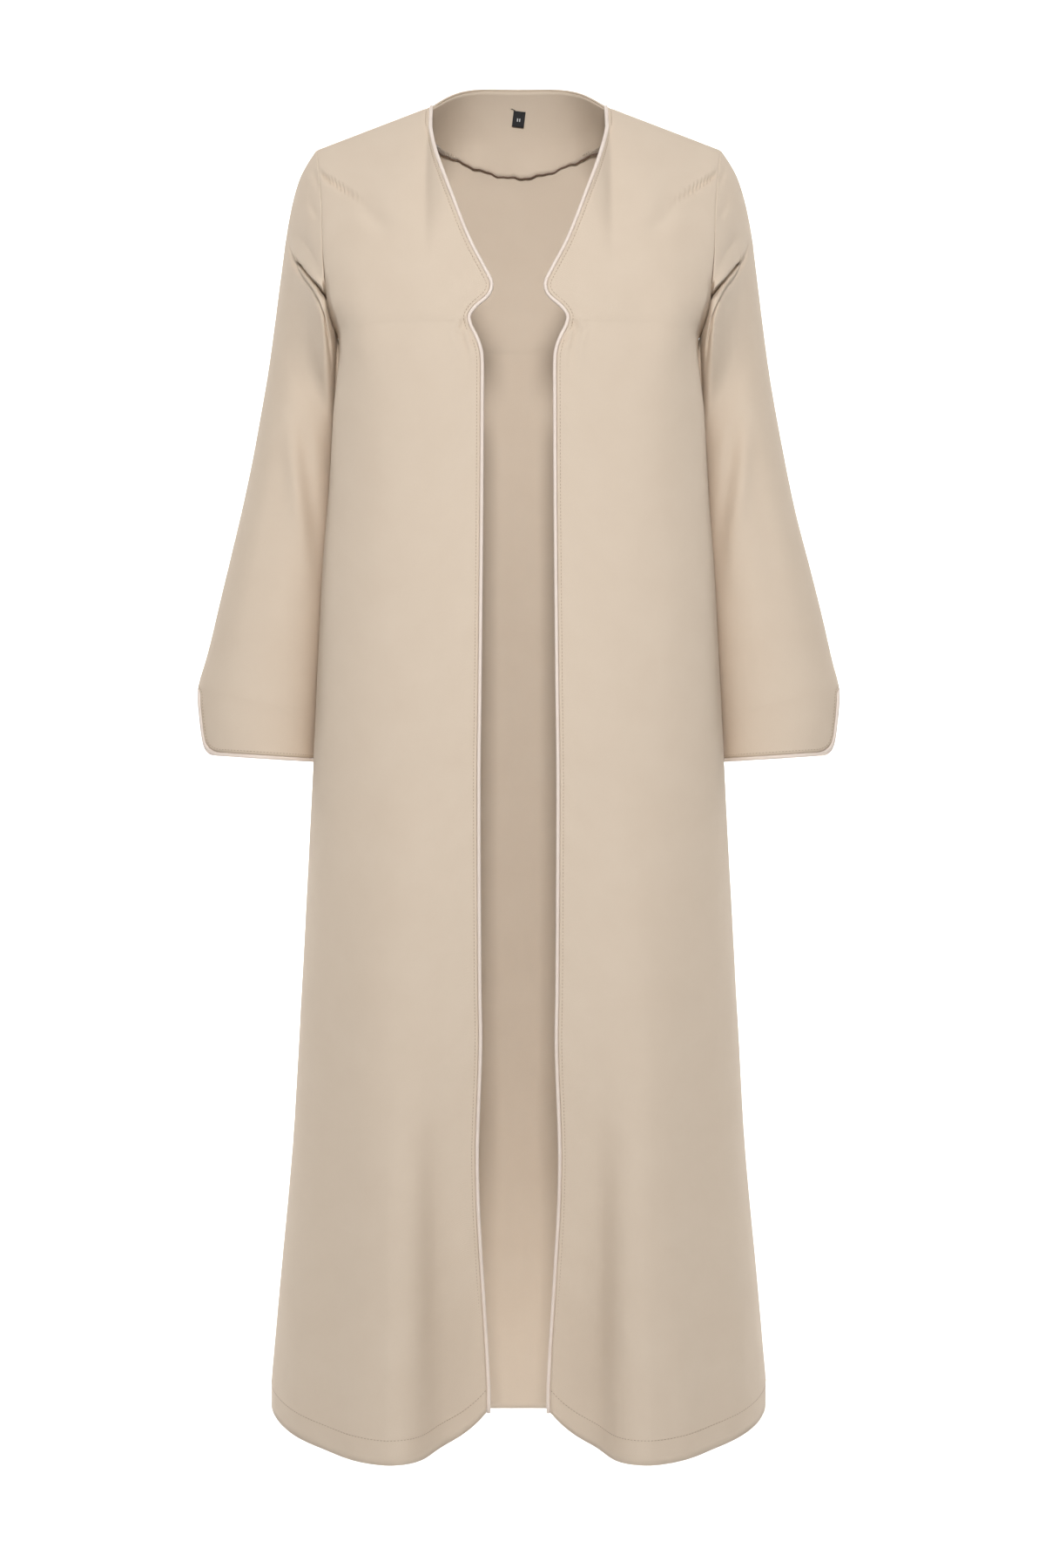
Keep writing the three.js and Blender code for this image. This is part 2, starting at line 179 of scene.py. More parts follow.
def ridge(x):
    # the top of the form across the body: the shoulder slope, and the neck's column inside it
    out = abs(x)
    neck = form["neckHalfWidth"]
    if out > neck:
        return (neck - out) * form["shoulderDrop"] / (form["shoulderHalfWidth"] - neck)
    return neckEdge(x) + form["neckColumn"] * (1 - (out / neck) ** 2)


def formDepth(x, z, side):
    across = min(abs(x) / halfWidth(z), 1)
    power = roundness(z)
    bulge = (1 - across**power) ** (1 / power)
    reach = form["frontReach"] if side < 0 else form["backReach"]
    below = clamp((ridge(x) - z) / reach)
    over = (1 - (1 - below) ** 2) ** form["bluntness"]
    middle = sideDepth(z)
    deep = frontDepth(z) + middle if side < 0 else backDepth(z) - middle
    return middle + side * deep * bulge * over


def fallBack(x, z):
    # near the front edges the cloth falls back between the two full lobes
    edge = edgeHalfWidth(z)
    return edgeFall(z) * (1 - smooth((x - edge) / (form["lobeHalfWidth"] - edge)))


def hemLift(x, z, side):
    out = min(abs(x) / halfWidth(z), 1)
    low = smooth((-form["hemLiftFrom"] - z) / (form["hemDrop"] - form["hemLiftFrom"]))
    if side > 0:
        return low * form["sideLift"] * out**2
    fullest = form["lobeHalfWidth"] / hemHalfWidth
    edge = edgeHalfWidth(z) / halfWidth(z)
    outward = max((out - fullest) / (1 - fullest), 0)
    inward = max((fullest - out) / (fullest - edge), 0)
    outerRise = (form["sideLift"] - form["lobeLift"]) * outward ** form["outwardCurve"]
    innerRise = form["edgeLift"] * inward ** form["inwardCurve"]
    return low * (form["lobeLift"] + outerRise + innerRise)


def bodyRow(v):
    # a row of a body panel: its height at the side and at the middle, and its turn in the armhole
    armholeShare, drop, low = form["armholeShare"], form["underarmDrop"], form["hemDrop"]
    if v < armholeShare:
        turn = math.cos(math.pi * v / armholeShare)
        return mix(-drop, -form["shoulderDrop"], (1 + turn) / 2), -drop * (1 - turn) / 2, turn
    z = -mix(drop, low, ((v - armholeShare) / (1 - armholeShare)) ** form["rowSpacing"])
    return z, z, -1


def outerEdge(z):
    # a body panel's edge: the armhole, and the side seam below it
    return armholeHalfWidth(z) if z > -form["underarmDrop"] else halfWidth(z)


def spread(share, z, outerX, innerX):
    # closer together where the form turns away at the side
    power = roundness(z) / 2
    wide = halfWidth(z)
    start = math.acos(min(outerX / wide, 1) ** power)
    end = math.acos(min(innerX / wide, 1) ** power)
    edge = math.cos(start) ** (1 / power)
    here = math.cos(mix(start, end, share)) ** (1 / power)
    return (edge - here) / (edge - math.cos(end) ** (1 / power))


fill = {"forward": 12, "z": -240, "reach": 34, "from": 106, "rise": 66, "edge": 5}


def underarmFill(x, z, outerX):
    # the front hangs flat over the underarm, right up to its edge
    beside = smooth((x - fill["from"]) / fill["rise"]) * smooth((outerX - x) / fill["edge"])
    return fill["forward"] * beside * bump((z - fill["z"]) / fill["reach"])


def frontPlace(share, v):
    outer, inner, turn = bodyRow(v)
    outerX = outerEdge(outer)
    inward = spread(share, outer, outerX, edgeHalfWidth(inner))
    x = mix(outerX, edgeHalfWidth(inner), inward)
    z = mix(outer, inner, inward)
    depth = formDepth(x, z, -1) + fallBack(x, z) - underarmFill(x, z, outerX)
    return Vector((x, depth, z + hemLift(x, z, -1)))


def backPlace(share, v):
    # share runs from the middle, 0, to the side seam or armhole, 1 or -1
    outer, inner, turn = bodyRow(v)
    neckShare = form["neckShare"]
    out = abs(share)
    x, z = form["neckHalfWidth"] * out / neckShare, inner
    if out > neckShare:
        outerX = outerEdge(outer)
        along = (1 - out) / (1 - neckShare)
        inward = spread(along, outer, outerX, form["neckHalfWidth"])
        x = mix(outerX, form["neckHalfWidth"], inward)
        z = mix(outer, inner, inward)
    else:
        z += neckEdge(x) * ((1 + turn) / 2) ** form["neckFade"]
    return Vector((math.copysign(x, share), formDepth(x, z, 1), z + hemLift(x, z, 1)))


# Sheets of cloth, moved into place from a flat grid


def clothSheet(shares, rows, place):
    # a bmesh grid whose rows of vertices are returned beside it, top row first
    bm = bmesh.new()
    bmesh.ops.create_grid(bm, x_segments=len(shares) - 1, y_segments=len(rows) - 1, size=0.5)
    bm.verts.ensure_lookup_table()
    wide = len(shares)
    lines = [list(bm.verts[j * wide:(j + 1) * wide]) for j in range(len(rows))]
    for line, v in zip(lines, rows):
        for vert, u in zip(line, shares):
            vert.co = place(u, v)
    return bm, lines


def faceOutward(bm, lines, middle):
    bm.normal_update()
    facing = sum(f.normal.dot(f.calc_center_median() - middle(f.calc_center_median().z))
                 for f in bm.faces)
    if facing < 0:
        bmesh.ops.reverse_faces(bm, faces=bm.faces[:])
        bm.normal_update()


def reaches(line):
    # the distance of each vertex from the first, along the cloth
    total = [0.0]
    for a, b in zip(line, line[1:]):
        total.append(total[-1] + (b.co - a.co).length)
    return total


def measured(lines):
    # for each vertex: how far from the start and end of its row, and from the top and the hem
    across = [reaches(line) for line in lines]
    down = [reaches(column) for column in zip(*lines)]
    sizes = {}
    for j, line in enumerate(lines):
        for i, vert in enumerate(line):
            sizes[vert] = (across[j][i], across[j][-1] - across[j][i],
                           down[i][j], down[i][-1] - down[i][j])
    return sizes


def clothUv(bm, sizes):
    layer = bm.loops.layers.uv.new("clothUv")
    for face in bm.faces:
        for loop in face.loops:
            start, _, _, foot = sizes[loop.vert]
            loop[layer].uv = (start * mm, foot * mm)


def moveVerts(moves):
    for vert, move in moves.items():
        vert.co += move


creaseShape = {
    "beyond": 3,  # a crease is felt this many widths past its ends
    "lipAt": 1.7,  # where its raised lips stand, in widths, and how wide they are
    "lipWidth": 1.1,
    "proudWidth": 2.5,  # how wide an overhanging layer's raised edge is, in widths
}


def creaseHeight(x, z, creases):
    # soft troughs and ridges along given lines: depth is negative for a trough
    height = 0.0
    for crease in creases:
        best = None
        path = crease["path"]
        beyond = creaseShape["beyond"] * crease["width"]
        low = min(p[1] for p in path) - beyond
        high = max(p[1] for p in path) + beyond
        if not low < z < high:
            continue
        walked = 0.0
        for (ax, az), (bx, bz) in zip(path, path[1:]):
            dx, dz = bx - ax, bz - az
            length = math.hypot(dx, dz)
            t = clamp(((x - ax) * dx + (z - az) * dz) / length**2)
            away = math.hypot(x - ax - dx * t, z - az - dz * t)
            if best is None or away < best[0]:
                side = 1 if dx * (z - az) - dz * (x - ax) > 0 else -1
                best = (away, side, walked + t * length)
            walked += length
        away, side, along = best
        share = along / walked
        fade = smooth(share / crease["startFade"]) * smooth((1 - share) / crease["endFade"])
        if "proud" in crease:
            under = smooth((side * away / crease["turn"] + 1) / 2)
            proudWidth = creaseShape["proudWidth"] * crease["width"]
            above = crease["proud"] * bump(away / proudWidth)
            height += fade * mix(above, crease["depth"] * bump(away / crease["width"]), under)
            continue
        reach = side * away / crease["width"]
        lip = bump((reach - creaseShape["lipAt"]) / creaseShape["lipWidth"])
        rise = bump(reach) - crease["lip"] * lip
        height += crease["depth"] * fade * rise
    return height


def crease(path, depth, width, lip=0.0, startFade=0.3, endFade=0.3):
    return {"path": path, "depth": depth, "width": width, "lip": lip,
            "startFade": startFade, "endFade": endFade}


def overhang(path, depth, width, proud, startFade=0.2, endFade=0.1, turn=0.9):
    # one layer of cloth that hangs over the next: the layer on the path's left is drawn in
    return {"path": path, "depth": depth, "width": width, "proud": proud, "turn": turn,
            "startFade": startFade, "endFade": endFade}


slackLook = {"across": 55, "down": 260, "fineAcross": 24, "fineDown": 80, "fineShare": 0.3}


def slack(point, seed, size=1.1):
    # the slight unevenness of hanging cloth, longer down than across
    across, fineAcross = slackLook["across"], slackLook["fineAcross"]
    spot = Vector((point.x / across, point.y / across, point.z / slackLook["down"] + seed))
    fine = Vector((point.x / fineAcross, point.y / fineAcross,
                   point.z / slackLook["fineDown"] - seed))
    return size * (noise.noise(spot) + slackLook["fineShare"] * noise.noise(fine))


def smoothMesh(name, bm, material):
    for face in bm.faces:
        face.smooth = True
    mesh = bpy.data.meshes.new(name)
    bm.to_mesh(mesh)
    bm.free()
    mesh.materials.append(material)
    return mesh


def linked(name, mesh):
    made = bpy.data.objects.new(name, mesh)
    bpy.context.scene.collection.objects.link(made)
    return made


def worn(piece):
    # every piece of the cloak is on its one body
    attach(piece, "root")
    return piece


def finishSheet(name, bm, material, wall, thick=None):
    bmesh.ops.scale(bm, vec=(mm, mm, mm), verts=bm.verts[:])
    piece = linked(name, smoothMesh(name, bm, material))
    solid = piece.modifiers.new("wall", "SOLIDIFY")
    solid.thickness = wall * mm
    solid.offset = -1
    solid.use_rim = True
    if thick:
        group = piece.vertex_groups.new(name="turnedUp")
        for index, weight in thick.items():
            group.add([index], weight, "REPLACE")
        solid.vertex_group = group.name
        solid.thickness_vertex_group = 0.5
    return worn(piece)


# Materials


class Socket:
    # wraps a shader socket, so that shader maths reads as plain Python
    def __init__(self, tree, socket):
        self.tree = tree
        self.socket = socket

    def math(self, operation, *values):
        return self.tree.node("ShaderNodeMath", {"operation": operation}, values)

    def __add__(self, other):
        return self.math("ADD", self, other)

    def __radd__(self, other):
        return self.math("ADD", other, self)

    def __sub__(self, other):
        return self.math("SUBTRACT", self, other)

    def __rsub__(self, other):
        return self.math("SUBTRACT", other, self)

    def __mul__(self, other):
        return self.math("MULTIPLY", self, other)

    def __rmul__(self, other):
        return self.math("MULTIPLY", other, self)

    def __lt__(self, other):
        return self.math("LESS_THAN", self, other)

    def __gt__(self, other):
        return self.math("GREATER_THAN", self, other)

    def sin(self):
        return self.math("SINE", self)

    def absolute(self):
        return self.math("ABSOLUTE", self)


class Finish:
    # one material and its node tree
    def __init__(self, name):
        self.material = bpy.data.materials.new(name)
        self.material.use_nodes = True
        self.nodes = self.material.node_tree.nodes
        self.links = self.material.node_tree.links
        self.shader = self.nodes["Principled BSDF"]

    def node(self, kind, settings=None, values=(), output=0):
        made = self.nodes.new(kind)
        for key, value in (settings or {}).items():
            setattr(made, key, value)
        pairs = values.items() if isinstance(values, dict) else enumerate(values)
        for key, value in pairs:
            self.feed(made.inputs[key], value)
        return Socket(self, made.outputs[output])

    def feed(self, socket, value):
        if isinstance(value, Socket):
            self.links.new(value.socket, socket)
        elif hasattr(value, "__len__") and len(value) == 3 and len(socket.default_value) == 4:
            socket.default_value = (*value, 1)
        else:
            socket.default_value = value

    def surface(self, **values):
        for key, value in values.items():
            self.feed(self.shader.inputs[key.replace("_", " ")], value)

    def blend(self, factor, a, b):
        settings = {"data_type": "RGBA", "blend_type": "MIX"}
        return self.node("ShaderNodeMix", settings, {0: factor, 6: a, 7: b}, output=2)

    def clothPlace(self):
        # metres across and along a sheet, and both as one vector
        uv = self.node("ShaderNodeUVMap", {"uv_map": "clothUv"})
        across = self.node("ShaderNodeSeparateXYZ", {}, [uv])
        along = Socket(self, across.socket.node.outputs["Y"])
        return across, along, uv

    def speckle(self, scale, detail):
        # noise on Object coordinates
        place = self.node("ShaderNodeTexCoord", output=3)
        values = {"Vector": place, "Scale": scale, "Detail": detail}
        return self.node("ShaderNodeTexNoise", {}, values)

    def raised(self, height, strength, distance):
        values = {"Height": height, "Strength": strength, "Distance": distance}
        self.feed(self.shader.inputs["Normal"], self.node("ShaderNodeBump", {}, values))


def colour(red, green, blue):
    # a colour as seen on screen, made linear for the shader
    return tuple(((c / 255 + 0.055) / 1.055) ** 2.4 for c in (red, green, blue))


clothLook = {
    "colour": colour(219, 203, 184),
    "shade": colour(211, 193, 173),
    "threadPitch": 0.00055,  # metres from thread to thread
    "grainScale": 900.0,
    "slubScale": 22.0,
    "roughness": 0.78,
    "roughnessRange": 0.12,
    "sheen": 0.18,
    "sheenRoughness": 0.45,
    "specular": 0.28,
    "weaveHeight": 0.00025,
}


def crepeCloth():
    finish = Finish("beigeCrepe")
    across, along, uv = finish.clothPlace()
    turns = 2 * math.pi / clothLook["threadPitch"]
    weft = (along * turns).sin()
    warp = (across * turns).sin()
    twill = ((across + along) * (turns * 0.5)).sin()
    flat = {"noise_dimensions": "2D"}
    grain = finish.node("ShaderNodeTexNoise", flat, {
        "Vector": uv, "Scale": clothLook["grainScale"], "Detail": 3.0, "Roughness": 0.6})
    slub = finish.node("ShaderNodeTexNoise", flat, {
        "Vector": uv, "Scale": clothLook["slubScale"], "Detail": 4.0, "Roughness": 0.55})
    weave = weft * warp * 0.3 + twill * 0.35 + grain * 0.9
    tone = finish.blend(slub * 0.55 + grain * 0.45, clothLook["shade"], clothLook["colour"])
    rough = clothLook["roughness"] + (grain - 0.5) * clothLook["roughnessRange"]
    finish.surface(Base_Color=tone, Roughness=rough)
    finish.surface(Sheen_Weight=clothLook["sheen"], Sheen_Roughness=clothLook["sheenRoughness"])
    finish.surface(Sheen_Tint=clothLook["colour"], Specular_IOR_Level=clothLook["specular"])
    finish.raised(weave, 0.35, clothLook["weaveHeight"])
    return finish.material


pipingLook = {
    "colour": colour(240, 228, 218),
    "shade": colour(226, 208, 194),
    "grainScale": 1400.0,
    "toneScale": 60.0,
    "roughness": 0.5,
    "grainHeight": 0.0002,
}


def satinPiping():
    finish = Finish("paleSatinPiping")
    grain = finish.speckle(pipingLook["grainScale"], 3.0)
    tone = finish.speckle(pipingLook["toneScale"], 2.0)
    body = finish.blend(tone * 0.6 + grain * 0.4, pipingLook["shade"], pipingLook["colour"])
    finish.surface(Base_Color=body, Roughness=pipingLook["roughness"] + (grain - 0.5) * 0.2)
    finish.surface(Sheen_Weight=0.15, Sheen_Roughness=0.4, Specular_IOR_Level=0.4)
    finish.raised(grain, 0.4, pipingLook["grainHeight"])
    return finish.material


threadLook = {
    "beigeThread": (colour(196, 175, 152), colour(146, 122, 100)),
    "paleOverlockThread": (colour(228, 214, 198), colour(198, 180, 160)),
    # painted shadow: a dark brown colour for a tube under the facing's edge, standing for the shade
    # beneath that edge
    "paintedShadowUnderFacing": (colour(126, 98, 80), colour(84, 60, 48)),
    "plyScale": 2600.0,
    "plyHeight": 0.0001,
}


def threadFinish(name):
    light, dark = threadLook[name]
    finish = Finish(name)
    ply = finish.speckle(threadLook["plyScale"], 2.0)
    finish.surface(Base_Color=finish.blend(ply, dark, light), Roughness=0.55 + ply * 0.2)
    finish.surface(Sheen_Weight=0.2, Sheen_Roughness=0.4)
    finish.raised(ply, 0.5, threadLook["plyHeight"])
    return finish.material


labelLook = {
    "colour": colour(26, 26, 29),
    "mark": colour(205, 205, 205),
    "width": 0.0125,  # this and the sizes down to markHalfHeight are in metres
    "height": 0.0165,
    "ribPitch": 0.0004,
    "columnPitch": 0.0005,
    "barFrom": 0.0006,
    "barTo": 0.0017,
    "markHalfHeight": 0.0016,
    "markAt": 0.45,
    "drop": 30,
    "tilt": math.radians(7),
    "wall": 0.6,
    "clear": 0.7,
    "footLift": 1.2,  # how far its foot stands off the facing, and over what height
    "footOver": 14,
}


def labelTape():
    finish = Finish("darkWovenTape")
    across, up, _ = finish.clothPlace()
    ribs = (up * (2 * math.pi / labelLook["ribPitch"])).sin()
    columns = (across * (2 * math.pi / labelLook["columnPitch"])).sin()
    # a plain woven mark of two short bars
    beside = (across - labelLook["width"] / 2).absolute()
    bars = (beside > labelLook["barFrom"]) * (beside < labelLook["barTo"])
    fromMark = (up - labelLook["height"] * labelLook["markAt"]).absolute()
    mark = bars * (fromMark < labelLook["markHalfHeight"])
    finish.surface(Base_Color=finish.blend(mark, labelLook["colour"], labelLook["mark"]))
    finish.surface(Roughness=0.7 + ribs * 0.06, Sheen_Weight=0.2)
    finish.raised(ribs * columns + mark, 0.4, 0.00015)
    return finish.material


clothMaterial = crepeCloth()
pipingMaterial = satinPiping()
threadMaterial = threadFinish("beigeThread")
paleThread = threadFinish("paleOverlockThread")
# painted shadow: the dark brown finish of the line under the facing's edge
paintedShadowFinish = threadFinish("paintedShadowUnderFacing")
labelMaterial = labelTape()
print("abaya cloak: materials made")


# The panels

clothWall = 1.3  # the cloth itself; the turned-up hem is twice as thick
hemTurnUp = 23
seamGap = 0.15
seamDip = {"depth": 0.5, "width": 0.9}  # how a seam draws the cloth down on both its sides
topstitch = {"inset": 3.0, "sink": 0.55, "width": 1.1}  # beside the front piping
calm = {"slack": 22, "creases": 9}  # how near a seam the cloth's own shape dies out


def nearSeam(distance):
    return -seamDip["depth"] * bump(distance / seamDip["width"])


def topstitchDip(fromEdge):
    return -topstitch["sink"] * bump((fromEdge - topstitch["inset"]) / topstitch["width"])


def stretches(*spans):
    # even shares over each (start, end, count), up to but not including its end
    return [start + (end - start) * i / count for start, end, count in spans
            for i in range(count)]


frontLook = {
    "columns": 46,
    "rows": 250,
    "flat": (0.36, 1.34),
    "area": 0.31,
    "creases": [
        # the soft inner flank of each lobe, down to the hem
        crease([(74, -900), (76, -1080), (73, -1220), (70, -1330)], -4.5, 15, 0.35, 0.5, 0.02),
        crease([(96, -1000), (101, -1180), (104, -1330)], 2.5, 16, 0, 0.6, 0.02),
        crease([(60, -1085), (57, -1120), (59, -1155)], -1.3, 3.5, 0.5),
        crease([(66, -1110), (63, -1150)], -0.8, 3, 0.4),
        # outer hanging folds of the skirt
        crease([(168, -700), (176, -980), (184, -1330)], -3.5, 20, 0.4, 0.5, 0.02),
        # gathers under the notch
        crease([(53, -228), (55.5, -245), (53, -268), (48, -290)], -2.6, 3.0, 0.9, 0.1, 0.5),
        crease([(47, -240), (45, -250), (41, -262)], -1.8, 2.3, 0.7, 0.15, 0.5),
        # drag from the front of the armhole to the chest
        overhang([(199, -66), (193, -74), (186, -80), (171, -92), (155, -104), (138, -119)],
                 -5.0, 3.0, 2.0, 0.04, 0.75),
        crease([(160, -108), (140, -128), (118, -150)], -1.6, 8, 0.4, 0.4, 0.5),
        crease([(150, -84), (128, -108), (112, -140)], 1.2, 12, 0.3, 0.4, 0.5),
        crease([(187, -205), (170, -240), (160, -300)], -1.6, 9, 0.4, 0.2, 0.6),
    ],
}


def bodyMiddle(z):
    return Vector((0, 0, z))


def bodyPanel(look, place, seed, seams, shares):
    # seams gives a vertex's distances from the panel's seams, and its topstitching's dip
    rows = [j / look["rows"] for j in range(look["rows"] + 1)]
    bm, lines = clothSheet(shares, rows, place)
    faceOutward(bm, lines, bodyMiddle)
    sizes = measured(lines)
    clothUv(bm, sizes)
    moved = {}
    for vert in bm.verts:
        spots, dip = seams(sizes[vert], vert.co)
        nearest = min(spots)
        lift = creaseHeight(abs(vert.co.x), vert.co.z, look["creases"])
        lift *= smooth(nearest / calm["creases"])
        lift += slack(vert.co, seed) * smooth(nearest / calm["slack"])
        lift += sum(nearSeam(spot) for spot in spots) + dip
        moved[vert] = vert.normal * lift
    moveVerts(moved)
    bm.normal_update()
    thick = {v.index: 1.0 if sizes[v][3] < hemTurnUp else 0.5 for v in bm.verts}
    return bm, lines, thick


def withNormals(lines):
    return [[(v.co.copy(), v.normal.copy()) for v in line] for line in lines]


def frontSeams(size, point):
    fromSide, fromEdge, fromTop, _ = size
    return (fromSide, fromTop), topstitchDip(fromEdge)


frontLines = {}
for sideName, sign, seed in (("left", 1, 3.1), ("right", -1, 8.7)):

    def placeFront(share, v):
        point = frontPlace(share, v)
        return Vector((sign * point.x, point.y - seamGap / 2, point.z))

    shares = [0, 0.003, 0.008] + stretches((0.016, 0.3, 26), (0.3, 0.965, frontLook["columns"]))
    shares += [0.965, 0.975, 0.981, 0.986, 0.991, 0.996, 1]
    bm, lines, thick = bodyPanel(frontLook, placeFront, seed, frontSeams, shares)
    frontLines[sideName] = withNormals(lines)
    piece = finishSheet(f"frontPanel_{sideName}", bm, clothMaterial, clothWall * 2, thick)
    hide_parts(f"front_{sideName}")
print("abaya cloak: fronts made")

backLook = {
    "columns": 58,
    "rows": 250,
    "flat": (0.64, 1.38),
    "area": 0.68,
    "creases": [
        crease([(34, -520), (38, -900), (44, -1330)], -4.0, 20, 0.4, 0.5, 0.02),
        crease([(92, -420), (104, -850), (118, -1330)], 4.0, 24, 0, 0.5, 0.02),
        crease([(150, -560), (164, -950), (178, -1330)], -4.5, 22, 0.4, 0.5, 0.02),
        crease([(192, -150), (168, -176), (138, -190)], -2.2, 8, 0.5, 0.1, 0.6),
        crease([(186, -206), (160, -236), (130, -250)], -1.8, 9, 0.4, 0.1, 0.6),
        crease([(60, -330), (90, -350), (120, -362)], -1.4, 10, 0.3),
    ],
}


def backSeams(size, point):
    # the top edge is a seam along the shoulders only, not at the neck
    fromRight, fromLeft, fromTop, _ = size
    shoulder = fromTop + max(form["neckHalfWidth"] - abs(point.x), 0) * 4
    return (fromRight, fromLeft, shoulder), 0


half = [0, 0.003, 0.008] + stretches((0.016, 1, backLook["columns"])) + [1]
backShares = [share - 1 for share in half] + [1 - share for share in reversed(half[:-1])]
bm, lines, thick = bodyPanel(
    backLook, lambda share, v: backPlace(share, v) + Vector((0, seamGap / 2, 0)), 5.3,
    backSeams, backShares)
backLines = withNormals(lines)
backPanel = finishSheet("backPanel", bm, clothMaterial, clothWall * 2, thick)
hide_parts("back")
print("abaya cloak: back made")

# The sleeves

sleeve = {
    "outer": [(202, -43), (219, -70), (231, -112), (240.5, -172), (255.5, -277), (275, -381),
              (301, -486), (315.5, -548), (324, -581), (323, -608), (318.5, -644)],
    "inner": [(179, -238), (179.7, -262), (183.6, -320), (187.8, -400), (195.5, -504),
              (202.5, -600), (206.5, -651)],
    "frontDepth": 52,
    "backDepth": 54,
    "middle": 6,
    "drift": 34,
    "driftReach": 0.3,
    "seamReach": 0.24,
    "flatness": 0.75,
    "slitLength": 65,
    "slitTip": 8,
    "slitFrontGap": 23,
    "slitBackGap": 3,
    "slitPush": 1.2,
    "flapForward": 12,  # how far the slit's front flap stands forward, round how much of a turn
    "flapWidth": 0.45,
    "flapStart": 20,
    "cornerWidth": 24,
    "cornerHeight": 16,
    "flat": (0.44, 0.64),
    "area": 0.165,
}
foldLook = {
    "depth": 7,
    "width": 0.042,
    "outerAt": 0.155,
    "innerAt": -0.035,
    "sink": 1.3,
    "sinkAt": 0.4,
    "outerFade": 0.4,
    "innerFade": 0.1,
    "topFade": 0.1,
}
outerLine, outerLength = smoothLine(sleeve["outer"])
innerLine, _ = smoothLine(sleeve["inner"])
sleeveDrop = 605  # from the shoulder to the cuff
slitTop = 1 - sleeve["slitLength"] / outerLength


def sleeveRing(turn, t):
    outer, inner = outerLine(t), innerLine(t)
    middle = sleeve["middle"] + sleeve["drift"] * smooth(t / sleeve["driftReach"])
    depth = sleeve["frontDepth"] if turn < math.pi else sleeve["backDepth"]
    out = (1 + math.cos(turn)) / 2
    forward = math.copysign(abs(math.sin(turn)) ** sleeve["flatness"], math.pi - turn)
    return Vector((mix(inner[0], outer[0], out), middle - forward * depth,
                   mix(inner[1], outer[1], out)))


def armholePlace(turn):
    z = mix(-form["underarmDrop"], -form["shoulderDrop"], (1 + math.cos(turn)) / 2)
    x = armholeHalfWidth(z)
    return Vector((x, formDepth(x, z, -1 if turn < math.pi else 1), z))


def underarmFold(turn, t):
    # the cloth above it swells, and the cloth under it falls in
    inward = (1 - math.cos(turn)) / 2
    across = (t - mix(foldLook["outerAt"], foldLook["innerAt"], inward)) / foldLook["width"]
    swell = bump(across + 1) - foldLook["sink"] * bump(across - foldLook["sinkAt"])
    fade = smooth(inward / foldLook["outerFade"]) * smooth((1 - inward) / foldLook["innerFade"])
    return foldLook["depth"] * swell * fade


def sleevePlace(turn, down):
    # turn goes round from the shoulder over the front; down goes from the armhole to the hem
    full = 2 * math.pi
    below = max(down - slitTop, 0) * outerLength
    opened = math.sqrt(1 - (1 - min(below / sleeve["slitTip"], 1)) ** 2)
    inFront = turn < math.pi
    gap = sleeve["slitFrontGap"] if inFront else sleeve["slitBackGap"]
    depth = sleeve["frontDepth"] if inFront else sleeve["backDepth"]
    around = min(turn, full - turn)
    near = around + opened * gap / depth * max(1 - around / sleeve["slitPush"], 0)
    shifted = near if inFront else full - near
    corner = max(1 - max(near * depth - gap, 0) / sleeve["cornerWidth"], 0)
    lifted = sleeve["cornerHeight"] * (1 - math.sqrt(1 - corner * corner))
    t = down * (1 - (lifted / outerLength) * smooth((down - slitTop) / (1 - slitTop)))
    point = sleeveRing(shifted, t)
    joined = 1 - smooth(t / sleeve["seamReach"])
    point += (armholePlace(shifted) - sleeveRing(shifted, 0)) * joined
    fold = underarmFold(turn, down) * smooth(down / foldLook["topFade"])
    point.y -= math.copysign(fold, math.pi - turn)
    if inFront:
        flap = bump(near / sleeve["flapWidth"]) * smooth(below / sleeve["flapStart"])
        point.y -= sleeve["flapForward"] * flap
    return point


sleeveCreases = {
    "front": [
        # the sleeve head hangs over a deep fold into the underarm, with a second fold below it
        overhang([(222, -157), (214, -167), (201, -185), (190, -197), (186, -201)],
                 -19.0, 2.9, 2.6, 0.07, 0.02),
        overhang([(228.7, -138), (223.5, -157), (220, -166), (213, -178), (202, -193),
                  (195, -206), (188.5, -222), (185.5, -240), (184.5, -276)],
                 -6.5, 2.4, 1.8, 0.1, 0.3),
        crease([(231, -128), (228, -140), (224, -154)], -1.6, 2.6, 0.3, 0.2, 0.2),
        # long soft fold down the sleeve, beside the shaded part next to the body
        crease([(218, -296), (206, -394), (201, -430), (197, -500)], -3.5, 8, 0.9, 0.3, 0.5),
        crease([(214, -250), (226, -330), (246, -430), (268, -560)], -1.8, 15, 0.4, 0.4, 0.5),
        # small creases of the sleeve head
        crease([(207, -66), (200, -78), (196, -88)], -1.8, 3.6, 0.5, 0.2, 0.3),
        crease([(209, -100), (201, -114), (197, -124)], -1.5, 3.6, 0.5, 0.2, 0.3),
    ],
    "back": [
        crease([(236, -190), (216, -226), (200, -262)], -4.0, 7, 0.7, 0.3, 0.4),
        crease([(254, -292), (232, -318), (208, -334)], -3.5, 7, 0.6, 0.25, 0.4),
        crease([(262, -330), (240, -352), (214, -372)], -2.8, 8, 0.6, 0.25, 0.4),
        crease([(228, -380), (244, -480), (262, -580)], -2.6, 15, 0.4, 0.4, 0.3),
        crease([(207, -66), (200, -80), (197, -92)], -1.5, 3.8, 0.5, 0.2, 0.3),
    ],
}


def sleeveMiddle(z):
    down = clamp((-form["shoulderDrop"] - z) / sleeveDrop)
    outer, inner = outerLine(down), innerLine(down)
    return Vector(((outer[0] + inner[0]) / 2, sleeve["middle"] + sleeve["drift"] * down, z))


